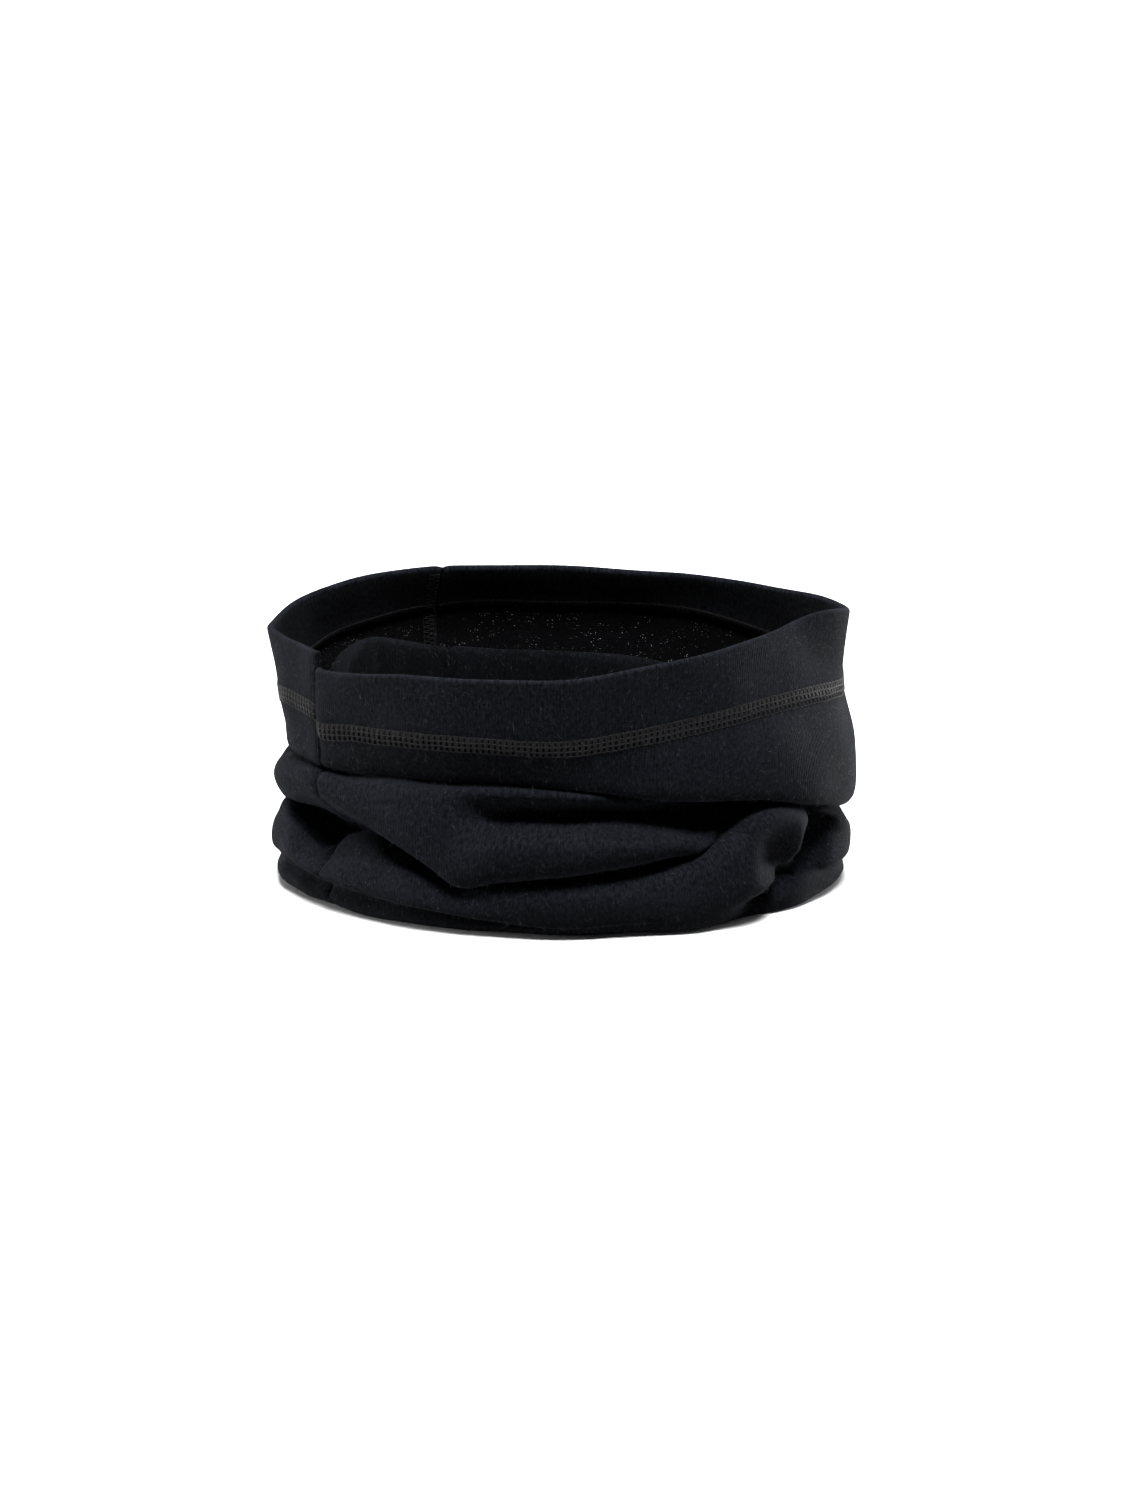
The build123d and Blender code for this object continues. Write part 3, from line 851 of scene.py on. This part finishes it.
def overlock(name, angle):
    """Loops that swing from the seam to the far edge of the stitch and back, and the row of needle
    stitches.
    """
    columns, _, _ = cloth_between(angle, angle + 6.8)
    down = along(columns, 1)
    row_of = np.arange(columns.shape[1])
    total = down[0, -1]
    count = int(total / OVERLOCK_STITCH)
    phase = np.linspace(0, count, count * 8 + 1)
    length = 0.6 + phase / count * (total - 1.2)
    at_row = np.interp(length, down[0], row_of)
    on_band = 1 / (1 + np.exp(-np.clip(np.maximum(TOP_JOINT - at_row, at_row - HEM_JOINT) * 3, -30, 30)))
    lift = -(CLEAR + 0.12) - on_band * FOLD_PITCH
    normal = outward(columns)
    across = along(columns, 0)

    def place(offset, lift):
        r0 = np.clip(at_row.astype(int), 0, columns.shape[1] - 2)
        share = (at_row - r0)[None, :, None]
        line = columns[:, r0] * (1 - share) + columns[:, r0 + 1] * share
        turned = normal[:, r0] * (1 - share) + normal[:, r0 + 1] * share
        reach = across[:, r0]
        k = np.clip((reach < offset[None]).sum(0) - 1, 0, len(reach) - 2)
        pick = np.arange(len(k))
        part = ((offset - reach[k, pick]) / (reach[k + 1, pick] - reach[k, pick]))[:, None]
        point = line[k, pick] * (1 - part) + line[k + 1, pick] * part
        out = turned[k, pick] * (1 - part) + turned[k + 1, pick] * part
        return point + out / np.linalg.norm(out, axis=1, keepdims=True) * lift[:, None]

    swing = 0.5 - 0.5 * np.cos(2 * np.pi * phase)
    rise = 0.25 * np.sin(np.pi * swing)
    tubes = [(place(0.3 + OVERLOCK_WIDTH * swing, lift - rise), 0.16, 5)]
    tubes.append((place(0.5 + 0.08 * np.sin(phase), lift - 0.3 + 0.12 * np.cos(2 * np.pi * phase)), 0.16, 5))
    tubes.append((place(0.2 + OVERLOCK_WIDTH + 0.1 * np.sin(2 * phase), lift - 0.05 + 0 * phase), 0.18, 5))
    return threads(name, tubes, overlock_thread)


pieces["front_overlock"] = overlock("front_overlock_stitches", FRONT_SEAM)
pieces["back_overlock"] = overlock("back_overlock_stitches", BACK_SEAM)
print("overlock", OVERLOCK_WIDTH, "mm wide")

# %% [markdown]
# ## Wool fuzz
#
# Fibre ends stand out of the knit and make its edge soft against the light. Blender's hair would be one
# way, but it doesn't leave with the model. Here each fibre is a thin curved blade of a few faces, rooted at
# a random place on the cloth and leaning a random way.

# %% Fuzz
def fuzz(name, count, seed, shortest, longest):
    """Blades with three joints: each starts on the face, leans over as it rises, and narrows to nothing.

    A blade that would reach into the ground lies on it.
    """
    pick = np.random.default_rng(seed)
    grid, _, _ = cloth_between(0, 360)
    normal = outward(grid)
    area = np.linalg.norm(np.cross(np.diff(grid[:, :-1], axis=0), np.diff(grid[:-1], axis=1)), axis=2)
    cell = pick.choice(area.size, count, p=(area / area.sum()).ravel())
    i, j = np.unravel_index(cell, area.shape)
    s, t = pick.random((2, count))[:, :, None]
    root = (1 - s) * (1 - t) * grid[i, j] + s * (1 - t) * grid[i + 1, j] + (1 - s) * t * grid[i, j + 1]
    root = root + s * t * grid[i + 1, j + 1]
    out = normal[i, j]
    lean = np.cross(out, pick.normal(size=(count, 3)))
    lean /= np.linalg.norm(lean, axis=1, keepdims=True)
    length = (shortest + (longest - shortest) * pick.random(count) ** 2.5)[:, None]
    curl = pick.uniform(0.3, 1.1, count)[:, None]
    wide = np.cross(out, lean)
    rows = []
    for way, width in ((0.0, 0.032), (0.4, 0.028), (0.75, 0.02), (1.0, 0.008)):
        rise = CLOTH / 2 - 0.1 + length * way * (1 - 0.45 * way)
        line = root + out * rise + lean * length * curl * way**1.6
        rows += [line - wide * width, line + wide * width]
    points = np.stack(rows, axis=1).reshape(-1, 3)
    points[:, 2] = np.maximum(points[:, 2], LYING - CLOTH / 2)
    base = (np.arange(count) * 8)[:, None, None]
    faces = (base + np.array([[0, 1, 3, 2], [2, 3, 5, 4], [4, 5, 7, 6]])).reshape(-1, 4)
    uv = np.tile(np.repeat(np.arange(4), 2)[:, None] / 3.0, (count, 2))
    return add_mesh(name, points, faces, uv, [fuzz_material])


def fibre_material():
    """Single wool fibres: pale at the tip, where they are thinnest, and dark at the root."""
    material = bpy.data.materials.new("wool_fibre")
    material.use_nodes = True
    tree = material.node_tree
    way = node(tree, "ShaderNodeUVMap", {"uv_map": "cloth"}).outputs[0]
    tip = maths(tree, "MULTIPLY", node(tree, "ShaderNodeSeparateXYZ", Vector=way).outputs[0], 1000.0)
    place = node(tree, "ShaderNodeTexCoord").outputs["Object"]
    patchy = maths(tree, "MULTIPLY_ADD", noise(tree, place, 2500, 1.0), 1.6, -0.3)
    share = maths(tree, "MULTIPLY", tip, patchy)
    shader = tree.nodes["Principled BSDF"]
    blend = blend_colours(tree, share, (0.006, 0.006, 0.008, 1), (0.05, 0.052, 0.06, 1))
    tree.links.new(blend, shader.inputs[0])
    shader.inputs["Roughness"].default_value = 0.6
    shader.inputs["Specular IOR Level"].default_value = 0.3
    return material


fuzz_material = fibre_material()
halo = fuzz("wool_fuzz", count=26000, seed=11, shortest=0.5, longest=2.6)
print("fibres", len(halo.data.polygons) // 3)

# %% [markdown]
# ## What each piece stands for
#
# Every piece rides on the one body and replaces its plain solid.

# %% Riding and replacing
for name, piece in pieces.items():
    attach(piece, "root")
    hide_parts(name)
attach(halo, "root")

print(len(pieces), "pieces in place of the plain solids")

# %% [markdown]
# ## Floor and light
#
# A plain pale floor. Its own bounce is switched off for the cloth, as black flags do in a studio. Dark wool
# needs strong light: a key high in front, which leaves the undersides of the tiers dark, one more overhead
# and behind, which draws the upper edges, and a long low strip at each side, which lights the ends of the
# oval without looking down into it. A fifth light hangs over the far floor, so that it stays as white as
# the near floor.

# %% Floor
floor_mesh = bpy.data.meshes.new("floor")
floor_mesh.from_pydata([(-7, -7, 0), (7, -7, 0), (7, 7, 0), (-7, 7, 0)], [], [(0, 1, 2, 3)])
floor = bpy.data.objects.new("floor", floor_mesh)
bpy.context.scene.collection.objects.link(floor)
floor_material = bpy.data.materials.new("pale_floor")
floor_material.use_nodes = True
floor_shader = floor_material.node_tree.nodes["Principled BSDF"]
floor_place = node(floor_material.node_tree, "ShaderNodeTexCoord").outputs["Object"]
floor_cloud = noise(floor_material.node_tree, floor_place, 6, 4.0)
floor_tone = blend_colours(
    floor_material.node_tree, floor_cloud, (0.78, 0.78, 0.78, 1), (0.82, 0.82, 0.82, 1)
)
floor_material.node_tree.links.new(floor_tone, floor_shader.inputs["Base Color"])
floor_shader.inputs["Roughness"].default_value = 0.9
floor_mesh.materials.append(floor_material)
floor.visible_diffuse = False

# %% [markdown]
# ## Lights
#
# Each light is a rectangle that faces the object. The world itself is almost dark, so that the folds stay
# deep.

# %% Light
def area_light(name, place, size, power, target=(0, 0, 0.04)):
    """A rectangular light aimed at the target, which is the middle of the object if none is given."""
    data = bpy.data.lights.new(name, "AREA")
    data.shape = "RECTANGLE"
    data.size, data.size_y = size
    data.energy = power
    light = bpy.data.objects.new(name, data)
    light.location = place
    light.rotation_euler = (Vector(target) - Vector(place)).to_track_quat("-Z", "Y").to_euler()
    bpy.context.scene.collection.objects.link(light)
    return light


area_light("left_strip", (-1.2, 0.20, 0.07), (0.5, 0.11), 22)
area_light("right_strip", (1.02, 0.74, 0.07), (0.5, 0.11), 29)
area_light("front_key", (0.05, -0.66, 1.35), (0.6, 0.4), 62)
area_light("overhead", (0, 0.40, 1.45), (0.7, 0.5), 40)
area_light("far_floor", (0, 4.2, 1.3), (6, 3.4), 260, target=(0, 4.2, 0))
world = bpy.data.worlds.new("studio")
bpy.context.scene.world = world
world.use_nodes = True
world.node_tree.nodes["Background"].inputs["Color"].default_value = (1, 1, 1, 1)
world.node_tree.nodes["Background"].inputs["Strength"].default_value = 0.08
bpy.context.scene.view_settings.view_transform = "Standard"
print(len(bpy.data.lights), "lights")
